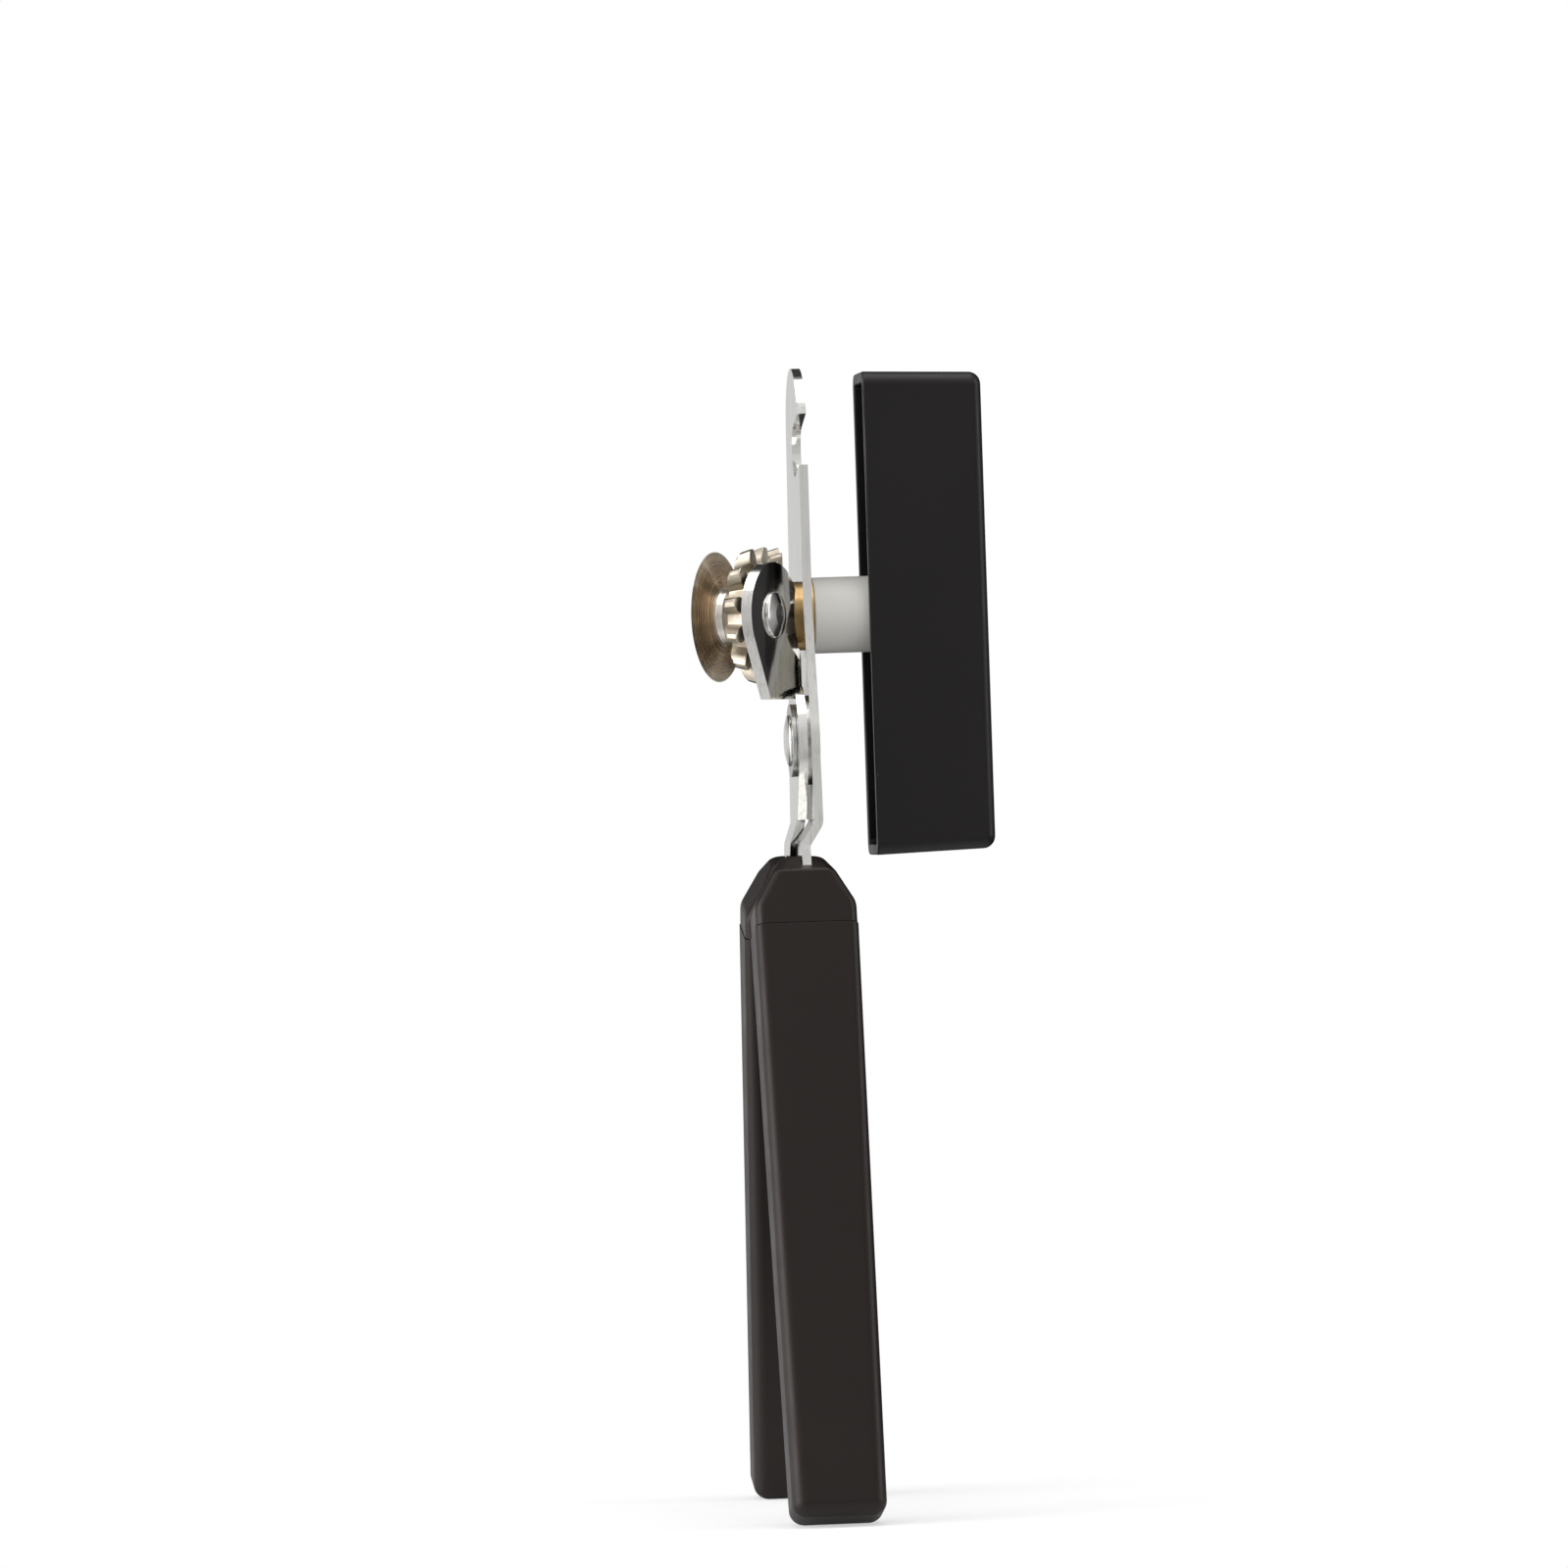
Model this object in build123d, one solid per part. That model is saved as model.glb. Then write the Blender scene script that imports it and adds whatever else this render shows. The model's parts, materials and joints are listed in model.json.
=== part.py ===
from build123d import *
from math import acos, cos, pi, radians, sin, tan
import os

# Plier-type can opener: two crossed steel levers on one rivet, a toothed feed wheel turned by a
# long hollow key, and a geared cutting wheel on an inclined arbor.
#
# Working frame: X runs across the levers towards the turning key, Y runs from the cutter jaw to
# the feed jaw, Z runs along the tool towards the bottle opener. The main rivet crosses the Z axis.
# Every piece is moved at the end so that the tool stands on Z = 0, centred on X and Y.

# Levers, all in millimetres
PLATE = 1.6
KEY_TANG_X = 0.4
KEY_PLATE_X = 2.9
CUTTER_TANG_X = -0.4
CUTTER_PLATE_X = 0.8
JOGGLE_LOW_Z = -15.4
JOGGLE_HIGH_Z = -11.6
BEND_RADIUS = 2.0
TANG_WIDTH = 10.4
TANG_TIP_WIDTH = 7.0
TANG_LENGTH = 66.0
FOOT_GAP = 0.4
SEAT_R = 9.4
RELIEF_Z = 10.6

# Handles: each axis leans away from the other one
HANDLE_X = -0.25
HANDLE_LEAN = 14.7
HANDLE_OFFSET = 3.0
HANDLE_START = 18.8
CAP_LENGTH = 13.0
GRIP_LENGTH = 106.5
GRIP_WIDTH = 18.5
GRIP_DEPTH = 13.0
GRIP_END_WIDTH = 16.7
GRIP_END_DEPTH = 12.0
GRIP_EDGE = 1.9
GRIP_END_EDGE = 2.8
GRIP_END_ROUND = 2.6
CAP_INSET = 0.15
CAP_TOP_WIDTH = 7.7
CAP_SHOULDER = 3.9
CAP_SHOULDER_ROUND = 4.0
CAP_TOP_ROUND = 1.3
CAP_BEVEL = 3.3
SLOT_PLAY = 0.1

# Main rivet
PIVOT_Z = 3.2
RIVET_R = 3.5
RIVET_HEAD_R = 5.5
RIVET_HEAD = 0.8
PIVOT_BOSS_R = 11.0
RUN = 0.05

# Feed side: the key shaft is parallel to X
SHAFT_Y = 9.0
SHAFT_Z = 25.6
SHAFT_R = 3.5
SHAFT_FLAT = 2.6
SHAFT_SQUARE = 5.0
FEED_R = 7.2
FEED_WIDTH = 3.0
FEED_TEETH = 24
FEED_TOOTH = 0.75
FEED_HUB_R = 4.6
BUSH_R = 5.0
BUSH_FLANGE_R = 7.0
BUSH_FLANGE = 1.0
SLEEVE_R = 6.85

# Turning key
KEY_RIM_X = 14.5
KEY_DEPTH = 21.5
KEY_LENGTH = 86.8
KEY_WIDTH = 18.0
KEY_WALL = 2.0
KEY_DRAFT = 1.7
KEY_CORNER = 2.4
KEY_ROUND = 2.1
KEY_HUB_R = 6.9

# Gears: an equal pair of small bevel gears on shafts that cross at ARBOR_TILT
GEAR_TEETH = 12
GEAR_MODULE = 1.75
GEAR_WIDTH = 3.4
GEAR_ADDENDUM = 0.87
GEAR_DEDENDUM = 1.25
GEAR_PRESSURE = 20.0
GEAR_BACKLASH = 0.22
GEAR_PHASE = 4.5
ARBOR_TILT = 28.5

# Cutting wheel, measured along its arbor from the plane of its cutting edge
DISC_X = -13.7
DISC_R = 11.6
DISC_FLANK = 1.74
HUB_R = 4.7
GEAR_FRONT = 5.5
GEAR_CHAMFER = 1.0
GEAR_TO_SEAT = 0.65
ARBOR_R = 2.5
ARBOR_HEAD_R = 4.2
ARBOR_HEAD = 1.2
CUTTER_BUSH_R = 3.4
CUTTER_CLEAR = 0.8

# Bottle opener at the head of the key lever
HEAD_R = 13.2
HEAD_TOP = 70.0
HEAD_WIDTH = 23.0
HEAD_Y = 6.5
NOTCH_Z = 56.0
NOTCH_HEIGHT = 9.0
NOTCH_DEPTH = 12.5
NOTCH_TILT = -14.0

PITCH_R = GEAR_MODULE * GEAR_TEETH / 2
PITCH_CONE = ARBOR_TILT / 2
TILT = radians(ARBOR_TILT)
GEAR_MIDDLE = GEAR_FRONT + GEAR_WIDTH / 2
GEAR_X = DISC_X + GEAR_MIDDLE * cos(TILT)
GEAR_Y = SHAFT_Y - PITCH_R * (1 + cos(TILT))
DISC_Y = GEAR_Y + GEAR_MIDDLE * sin(TILT)
DRIVE_X = GEAR_X + PITCH_R * sin(TILT)
DRIVE_LEFT = DRIVE_X - GEAR_WIDTH / 2
DRIVE_RIGHT = DRIVE_X + GEAR_WIDTH / 2
DRIVE_CLEAR_R = (PITCH_R + GEAR_MODULE) * 1.05 + CUTTER_CLEAR
SEAT = GEAR_FRONT + GEAR_WIDTH + GEAR_TO_SEAT
SEAT_MIDDLE = SEAT + PLATE / 2
DISC_EDGE_X = DISC_X + DISC_R * sin(TILT)
FEED_LEFT = DISC_EDGE_X + 0.85
FEED_RIGHT = FEED_LEFT + FEED_WIDTH
KEY_PLATE_LEFT = KEY_PLATE_X - PLATE / 2
KEY_PLATE_RIGHT = KEY_PLATE_X + PLATE / 2
CUTTER_PLATE_LEFT = CUTTER_PLATE_X - PLATE / 2
CUTTER_PLATE_RIGHT = CUTTER_PLATE_X + PLATE / 2
SLEEVE_LEFT = KEY_PLATE_RIGHT + BUSH_FLANGE + 2 * RUN
SLEEVE_RIGHT = KEY_RIM_X + 2.2
SQUARE_END = KEY_RIM_X + KEY_DEPTH - 5.0

SHAFT_FRAME = Plane(origin=(0, SHAFT_Y, SHAFT_Z), x_dir=(0, 1, 0), z_dir=(1, 0, 0))
ARBOR_FRAME = Plane(
    origin=(DISC_X, DISC_Y, SHAFT_Z),
    x_dir=(sin(TILT), cos(TILT), 0),
    z_dir=(cos(TILT), -sin(TILT), 0),
)
PIVOT_FRAME = Plane(origin=(0, 0, PIVOT_Z), x_dir=(0, 1, 0), z_dir=(1, 0, 0))


def disc(frame, radius, start, end):
    """A round slug on a frame's axis, from start to end along it."""
    return frame * Pos(0, 0, start) * extrude(Circle(radius), end - start)


def ring(frame, outer, inner, start, end):
    return disc(frame, outer, start, end) - disc(frame, inner, start - 1, end + 1)


def turned(frame, points):
    """A solid of revolution about a frame's axis, from (radius, along) points."""
    profile = Plane.XZ * make_face(Polyline(*points, close=True))
    return frame * revolve(profile, Axis.Z)


def strip(centre_line, width=PLATE):
    """A flat strip of constant thickness along a bent centre line."""
    return trace(FilletPolyline(*centre_line, radius=BEND_RADIUS), line_width=width)


def side_outline(sketch, half_span=30.0):
    """The outline seen along X, as a thick slab."""
    return extrude(Plane.YZ * sketch, half_span, both=True)


def handle_frame(side):
    """side -1 leans towards the cutter jaw, +1 towards the feed jaw; local -Z runs to the end."""
    lean = side * HANDLE_LEAN
    return Pos(HANDLE_X, side * HANDLE_OFFSET, 0) * Rot(lean, 0, 0)


def tang_outline(side):
    """The flat tang that runs down inside a handle, seen along X."""
    step = HANDLE_START + CAP_LENGTH
    end = HANDLE_START + TANG_LENGTH
    half = TANG_WIDTH / 2
    tip = TANG_TIP_WIDTH / 2
    points = [(-half, 4), (half, 4), (half, -step), (tip, -step - 2), (tip, -end), (-tip, -end),
              (-tip, -step - 2), (-half, -step)]
    shape = make_face(Polyline(*points, close=True))
    return Pos(side * HANDLE_OFFSET, 0) * Rot(0, 0, side * HANDLE_LEAN) * shape


def lever_strip(tang_x, plate_x, top):
    """The joggled strip of a lever, seen along Y, extruded across the whole tool."""
    line = [(tang_x, -120), (tang_x, JOGGLE_LOW_Z), (plate_x, JOGGLE_HIGH_Z), (plate_x, top)]
    return extrude(Plane.XZ * strip(line), 60, both=True)


def lever_foot(side):
    """A lever's outline from the rivet down into its handle, clear of the other lever's."""
    cross = Line((-TANG_WIDTH / 2, -HANDLE_START + 1.5), (TANG_WIDTH / 2, -HANDLE_START + 1.5))
    cross = Pos(side * HANDLE_OFFSET, 0) * Rot(0, 0, side * HANDLE_LEAN) * cross
    boss = Pos(0, PIVOT_Z) * Circle(PIVOT_BOSS_R - 1)
    foot = make_hull(boss.edges() + cross.edges()) + tang_outline(side)
    other_side = Pos(side * (FOOT_GAP - 50), JOGGLE_HIGH_Z + 0.6 - 60) * Rectangle(100, 120)
    return foot - other_side


def key_lever_plate():
    """The lever that carries the key shaft and, at its head, the bottle opener."""
    body = make_hull(
        (Pos(0, PIVOT_Z) * Circle(PIVOT_BOSS_R)).edges()
        + (Pos(SHAFT_Y, SHAFT_Z) * Circle(HEAD_R)).edges()
    )
    neck_low = Pos(SHAFT_Y, SHAFT_Z) * Circle(HEAD_R)
    neck_high = Pos(HEAD_Y, HEAD_TOP - HEAD_WIDTH / 2) * Circle(HEAD_WIDTH / 2)
    head = make_hull(neck_low.edges() + neck_high.edges())
    notch = Pos(HEAD_Y - HEAD_WIDTH / 2 + NOTCH_DEPTH / 2 - 2, NOTCH_Z) * Rot(0, 0, NOTCH_TILT)
    notch = notch * RectangleRounded(NOTCH_DEPTH + 4, NOTCH_HEIGHT, NOTCH_HEIGHT / 2 - 0.5)
    outline = body + head + lever_foot(-1) - notch
    plate = lever_strip(KEY_TANG_X, KEY_PLATE_X, 90) & side_outline(outline)
    plate = plate - disc(PIVOT_FRAME, RIVET_R, -20, 20) - disc(SHAFT_FRAME, BUSH_R, -20, 20)
    return plate.solid()


def seat_bend_y():
    """Where the cutter lever bends over towards its inclined seat."""
    seat_x = DISC_X + SEAT_MIDDLE * cos(TILT)
    seat_y = DISC_Y - SEAT_MIDDLE * sin(TILT)
    return seat_y + (CUTTER_PLATE_X - seat_x) / tan(TILT)


def cutter_seat_strip():
    """The bent upper arm of the cutter lever, seen along Z: flat, then square to the arbor."""
    bend_y = seat_bend_y()
    reach = 24.0
    far = (CUTTER_PLATE_X - reach * sin(TILT), bend_y - reach * cos(TILT))
    line = [(CUTTER_PLATE_X, 30), (CUTTER_PLATE_X, bend_y), far]
    return extrude(strip(line), 60, both=True)


def cutter_lever_plate():
    """Flat round the rivet, joggled into its handle, with an ear bent square to the arbor."""
    seat_y = DISC_Y - SEAT_MIDDLE * sin(TILT)
    boss = Pos(0, PIVOT_Z) * Circle(PIVOT_BOSS_R - 1)
    arm = make_hull((Pos(seat_y, SHAFT_Z) * Circle(SEAT_R)).edges() + boss.edges())
    arm = arm - Pos(SHAFT_Y, SHAFT_Z) * Circle(DRIVE_CLEAR_R)
    above = Pos(0, RELIEF_Z + 50) * Rectangle(120, 100)
    right_of_bend = Pos(seat_bend_y() + 50, 0) * Rectangle(100, 120)
    lower = lever_foot(1) + boss + (arm & right_of_bend)
    seat = cutter_seat_strip() & side_outline(arm & above)
    plate = seat + (lever_strip(CUTTER_TANG_X, CUTTER_PLATE_X, 90) & side_outline(lower))
    plate = plate - disc(PIVOT_FRAME, RIVET_R + RUN, -20, 20)
    plate = plate - disc(ARBOR_FRAME, ARBOR_R, SEAT - 2, SEAT + 6)
    return plate.solid()


def grip(side):
    """The tapered bar of a handle, with a blind slot for the tang."""
    upper = RectangleRounded(GRIP_WIDTH, GRIP_DEPTH, GRIP_EDGE)
    lower = RectangleRounded(GRIP_END_WIDTH, GRIP_END_DEPTH, GRIP_END_EDGE)
    bar = loft([upper, Pos(0, 0, -GRIP_LENGTH) * lower], ruled=True)
    end = bar.faces().sort_by(Axis.Z)[0]
    bar = fillet(end.edges(), GRIP_END_ROUND)
    slot_length = TANG_LENGTH - CAP_LENGTH + 1
    tang_x = (CUTTER_TANG_X if side > 0 else KEY_TANG_X) - HANDLE_X
    slot = Pos(tang_x, 0, -slot_length / 2) * Box(
        PLATE + 2 * SLOT_PLAY, TANG_TIP_WIDTH + 2 * SLOT_PLAY, slot_length
    )
    lead_in = Pos(tang_x, 0, -1.5) * Box(PLATE + 2 * SLOT_PLAY, TANG_WIDTH + 2 * SLOT_PLAY, 3)
    return handle_frame(side) * Pos(0, 0, -HANDLE_START - CAP_LENGTH) * (bar - slot - lead_in)


def cap(side):
    """The tapered collar between a grip and its lever."""
    width = GRIP_WIDTH - 2 * CAP_INSET
    depth = GRIP_DEPTH - 2 * CAP_INSET
    block = extrude(RectangleRounded(width, depth, GRIP_EDGE), -CAP_LENGTH)
    half = width / 2
    top = CAP_TOP_WIDTH / 2
    front = make_face(Polyline(
        (-half, -CAP_LENGTH), (half, -CAP_LENGTH), (half, -CAP_LENGTH + CAP_SHOULDER), (top, 0),
        (-top, 0), (-half, -CAP_LENGTH + CAP_SHOULDER), close=True,
    ))
    rounded = fillet(front.vertices().group_by(Axis.Y)[1], CAP_SHOULDER_ROUND)
    rounded = fillet(rounded.vertices().group_by(Axis.Y)[-1], CAP_TOP_ROUND)
    deep = depth / 2
    flat = deep - CAP_BEVEL
    edge = make_face(Polyline(
        (-deep, -CAP_LENGTH), (deep, -CAP_LENGTH), (deep, -CAP_BEVEL), (flat, 0), (-flat, 0),
        (-deep, -CAP_BEVEL), close=True,
    ))
    edge = fillet(edge.vertices().group_by(Axis.Y)[-2:][0], 0.8)
    shape = block & extrude(Plane.XZ * rounded, 20, both=True)
    shape = shape & extrude(Plane.YZ * edge, 20, both=True)
    tang_x = (CUTTER_TANG_X if side > 0 else KEY_TANG_X) - HANDLE_X
    slot = Pos(tang_x, 0, 0) * Box(PLATE + 2 * SLOT_PLAY, TANG_WIDTH + 2 * SLOT_PLAY, 40)
    return handle_frame(side) * Pos(0, 0, -HANDLE_START) * (shape - slot)


def domed_head(frame, shank_r, head_r, base, height, outward):
    """A low rivet head whose flat side is at base and whose dome points along outward."""
    tip = base + outward * height
    shoulder = base + outward * height * 0.45
    crown = base + outward * height * 0.86
    points = [(0, base), (head_r, base), (head_r, shoulder), (head_r * 0.8, crown),
              (shank_r * 0.6, tip), (0, tip)]
    return turned(frame, points)


def main_rivet():
    left = CUTTER_PLATE_LEFT - 0.7
    right = KEY_PLATE_RIGHT
    shank = disc(PIVOT_FRAME, RIVET_R, left, right)
    peened = domed_head(PIVOT_FRAME, RIVET_R, RIVET_R + 1.1, left, 0.9, -1)
    return shank + peened + domed_head(PIVOT_FRAME, RIVET_R, RIVET_HEAD_R, right, RIVET_HEAD, 1)


def involute_profile(scale):
    """The outline of the bevel gear's teeth at one cone station, as a face."""
    base_r = PITCH_R * cos(radians(GEAR_PRESSURE))
    tip_r = PITCH_R + GEAR_ADDENDUM * GEAR_MODULE
    root_r = PITCH_R - GEAR_DEDENDUM * GEAR_MODULE
    pressure = radians(GEAR_PRESSURE)
    half_pitch = pi / (2 * GEAR_TEETH) - GEAR_BACKLASH / (2 * PITCH_R)

    def half_angle(radius):
        angle = acos(base_r / radius)
        return half_pitch + (tan(pressure) - pressure) - (tan(angle) - angle)

    def at(radius, angle):
        return (radius * scale * cos(angle), radius * scale * sin(angle))

    steps = 4
    radii = [base_r + (tip_r - base_r) * i / steps for i in range(steps + 1)]
    pitch = 2 * pi / GEAR_TEETH
    edges = []
    for tooth in range(GEAR_TEETH):
        middle = tooth * pitch
        rise = [at(r, middle - half_angle(r)) for r in radii]
        fall = [at(r, middle + half_angle(r)) for r in reversed(radii)]
        foot_in = at(root_r, middle - half_angle(base_r))
        foot_out = at(root_r, middle + half_angle(base_r))
        next_foot = at(root_r, middle + pitch - half_angle(base_r))
        edges.append(Line(foot_in, rise[0]))
        edges.append(Spline(*rise))
        edges.append(ThreePointArc(rise[-1], at(tip_r, middle), fall[0]))
        edges.append(Spline(*fall))
        edges.append(Line(fall[-1], foot_out))
        edges.append(ThreePointArc(foot_out, at(root_r, middle + pitch / 2), next_foot))
    return make_face(edges)


def bevel_teeth(phase):
    """The toothed ring about local Z, middle at 0, small end at -Z."""
    apex = PITCH_R / tan(radians(PITCH_CONE))
    half = GEAR_WIDTH / 2
    small = Pos(0, 0, -half) * involute_profile((apex - half) / apex)
    large = Pos(0, 0, half) * involute_profile((apex + half) / apex)
    return Rot(0, 0, phase) * loft([small, large], ruled=True)


def round_tips(frame, start, end):
    """The turned envelope that chamfers the tooth tips at both faces of a gear."""
    small = PITCH_R + GEAR_MODULE * 0.5
    large = PITCH_R + GEAR_MODULE * 1.3
    points = [(0, start), (small - 1.2, start), (small + 0.6, start + GEAR_CHAMFER),
              (large, end - 0.35), (large - 0.5, end), (0, end)]
    return turned(frame, points)


def double_d(frame, radius, flat, start, end):
    slug = disc(frame, radius, start, end)
    keep = frame * Pos(0, 0, (start + end) / 2) * Box(2 * flat, 4 * radius, end - start)
    return slug & keep


def drive_gear():
    teeth = SHAFT_FRAME * Pos(0, 0, DRIVE_X) * bevel_teeth(-GEAR_PHASE)
    blank = teeth & round_tips(SHAFT_FRAME, DRIVE_LEFT, DRIVE_RIGHT)
    return blank - double_d(SHAFT_FRAME, SHAFT_R, SHAFT_FLAT, DRIVE_LEFT - 1, DRIVE_RIGHT + 1)


def feed_wheel():
    tooth = Pos(FEED_R, 0) * Rot(0, 0, 45) * Rectangle(FEED_TOOTH * 1.42, FEED_TOOTH * 1.42)
    outline = Circle(FEED_R)
    for i in range(FEED_TEETH):
        outline = outline - Rot(0, 0, (i + 0.5) * 360 / FEED_TEETH) * tooth
    wheel = SHAFT_FRAME * Pos(0, 0, FEED_LEFT) * extrude(outline, FEED_WIDTH)
    wheel = wheel & turned(SHAFT_FRAME, [
        (0, FEED_LEFT), (FEED_R - 0.9, FEED_LEFT), (FEED_R + 0.1, FEED_LEFT + 0.8),
        (FEED_R + 0.1, FEED_RIGHT - 0.5), (FEED_R - 0.5, FEED_RIGHT), (0, FEED_RIGHT),
    ])
    hub = disc(SHAFT_FRAME, FEED_HUB_R, FEED_RIGHT, DRIVE_LEFT)
    return wheel + hub - double_d(SHAFT_FRAME, SHAFT_R, SHAFT_FLAT, FEED_LEFT - 1, DRIVE_LEFT + 1)


def drive_shaft():
    driven = double_d(SHAFT_FRAME, SHAFT_R, SHAFT_FLAT, FEED_LEFT - 0.6, DRIVE_RIGHT)
    journal = disc(SHAFT_FRAME, SHAFT_R, DRIVE_RIGHT, SLEEVE_RIGHT)
    length = SQUARE_END - SLEEVE_RIGHT
    square = Box(SHAFT_SQUARE, SHAFT_SQUARE, length)
    square = SHAFT_FRAME * Pos(0, 0, SLEEVE_RIGHT + length / 2) * square
    head = domed_head(SHAFT_FRAME, SHAFT_FLAT, SHAFT_FLAT + 0.7, FEED_LEFT - 0.6, 1.0, -1)
    return driven + journal + square + head


def shaft_washer():
    outer = disc(SHAFT_FRAME, 4.4, FEED_LEFT - 0.6, FEED_LEFT)
    return outer - double_d(SHAFT_FRAME, SHAFT_R, SHAFT_FLAT, FEED_LEFT - 2, FEED_LEFT + 1)


def shaft_bushing():
    barrel = disc(SHAFT_FRAME, BUSH_R, KEY_PLATE_LEFT, KEY_PLATE_RIGHT)
    flange = disc(SHAFT_FRAME, BUSH_FLANGE_R, KEY_PLATE_RIGHT, KEY_PLATE_RIGHT + BUSH_FLANGE)
    return barrel + flange - disc(SHAFT_FRAME, SHAFT_R + RUN, -5, 10)


def thrust_washer():
    return ring(SHAFT_FRAME, 6.2, SHAFT_R + RUN, DRIVE_RIGHT + 2 * RUN, KEY_PLATE_LEFT)


def spacer_sleeve():
    return ring(SHAFT_FRAME, SLEEVE_R, SHAFT_R, SLEEVE_LEFT, SLEEVE_RIGHT)


def turning_key():
    outer = extrude(RectangleRounded(KEY_WIDTH, KEY_LENGTH, KEY_CORNER), KEY_DEPTH, taper=KEY_DRAFT)
    outer_face = outer.faces().sort_by(Axis.Z)[-1]
    outer = fillet(outer_face.edges(), KEY_ROUND)
    pocket = extrude(
        RectangleRounded(KEY_WIDTH - 2 * KEY_WALL, KEY_LENGTH - 2 * KEY_WALL, 1.0),
        KEY_DEPTH - KEY_WALL,
        taper=KEY_DRAFT,
    )
    hub_start = SLEEVE_RIGHT - KEY_RIM_X
    hub = Pos(0, 0, hub_start) * extrude(Circle(KEY_HUB_R), KEY_DEPTH - KEY_WALL - hub_start)
    socket = Pos(0, 0, (hub_start + SQUARE_END - KEY_RIM_X) / 2) * Box(
        SHAFT_SQUARE, SHAFT_SQUARE, SQUARE_END - KEY_RIM_X - hub_start
    )
    shell = outer - pocket + hub - socket
    return SHAFT_FRAME * Pos(0, 0, KEY_RIM_X) * shell


def cutter_disc():
    edge = 0.08
    points = [(CUTTER_BUSH_R, 0), (DISC_R - 0.15, 0), (DISC_R, edge), (HUB_R, DISC_FLANK),
              (CUTTER_BUSH_R, DISC_FLANK)]
    return turned(ARBOR_FRAME, points)


def cutter_gear():
    half_tooth = 180 / GEAR_TEETH
    teeth = ARBOR_FRAME * Pos(0, 0, GEAR_MIDDLE) * bevel_teeth(half_tooth + GEAR_PHASE)
    teeth = teeth & round_tips(ARBOR_FRAME, GEAR_FRONT, GEAR_FRONT + GEAR_WIDTH)
    neck = turned(ARBOR_FRAME, [
        (0, DISC_FLANK), (HUB_R, DISC_FLANK), (HUB_R, GEAR_FRONT - 1.4), (HUB_R + 2.2, GEAR_FRONT),
        (HUB_R + 2.2, GEAR_FRONT + 1), (0, GEAR_FRONT + 1),
    ])
    return teeth + neck - disc(ARBOR_FRAME, CUTTER_BUSH_R, -1, SEAT)


def cutter_bush():
    return ring(ARBOR_FRAME, CUTTER_BUSH_R, ARBOR_R + RUN, 0, GEAR_FRONT + GEAR_WIDTH)


def arbor_washer():
    return ring(ARBOR_FRAME, 4.4, ARBOR_R, -0.7, -2 * RUN)


def seat_washer():
    return ring(ARBOR_FRAME, 5.6, ARBOR_R, GEAR_FRONT + GEAR_WIDTH + 2 * RUN, SEAT)


def cutter_arbor():
    shank = disc(ARBOR_FRAME, ARBOR_R, -0.7, SEAT + PLATE)
    front = domed_head(ARBOR_FRAME, ARBOR_R, ARBOR_R + 1.1, -0.7, 0.9, -1)
    back = domed_head(ARBOR_FRAME, ARBOR_R, ARBOR_HEAD_R, SEAT + PLATE, ARBOR_HEAD, 1)
    return shank + front + back


def pivot_washer():
    return ring(PIVOT_FRAME, PIVOT_BOSS_R - 3, RIVET_R, CUTTER_PLATE_RIGHT + RUN, KEY_PLATE_LEFT)


def rivet_washer():
    left = CUTTER_PLATE_LEFT - 0.7
    return ring(PIVOT_FRAME, RIVET_R + 3, RIVET_R, left, CUTTER_PLATE_LEFT - RUN)


def build():
    """Every piece by name, in the working frame."""
    return {
        "key_lever_plate": key_lever_plate(),
        "cutter_lever_plate": cutter_lever_plate(),
        "near_grip": grip(-1),
        "far_grip": grip(1),
        "near_grip_cap": cap(-1),
        "far_grip_cap": cap(1),
        "main_rivet": main_rivet(),
        "pivot_washer": pivot_washer(),
        "rivet_washer": rivet_washer(),
        "turning_key": turning_key(),
        "drive_shaft": drive_shaft(),
        "spacer_sleeve": spacer_sleeve(),
        "shaft_bushing": shaft_bushing(),
        "thrust_washer": thrust_washer(),
        "drive_gear": drive_gear(),
        "feed_wheel": feed_wheel(),
        "shaft_washer": shaft_washer(),
        "cutter_disc": cutter_disc(),
        "cutter_gear": cutter_gear(),
        "cutter_bush": cutter_bush(),
        "cutter_arbor": cutter_arbor(),
        "arbor_washer": arbor_washer(),
        "seat_washer": seat_washer(),
    }


def stand_up(pieces):
    """Move the pieces so that the tool stands on Z = 0, centred on X and Y."""
    box = Compound(list(pieces.values())).bounding_box()
    middle = box.center()
    shift = Pos(-middle.X, -middle.Y, -box.min.Z)
    print("working origin in the row frame:", shift.position)
    return {name: shift * piece for name, piece in pieces.items()}


if __name__ == "__main__":
    os.makedirs("parts", exist_ok=True)
    for name, piece in stand_up(build()).items():
        export_step(piece, f"parts/{name}.step")
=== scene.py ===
import bmesh
import bpy
import json
from math import acos, atan2, cos, pi, radians, sin, tan
from mathutils import Matrix, Vector


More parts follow.
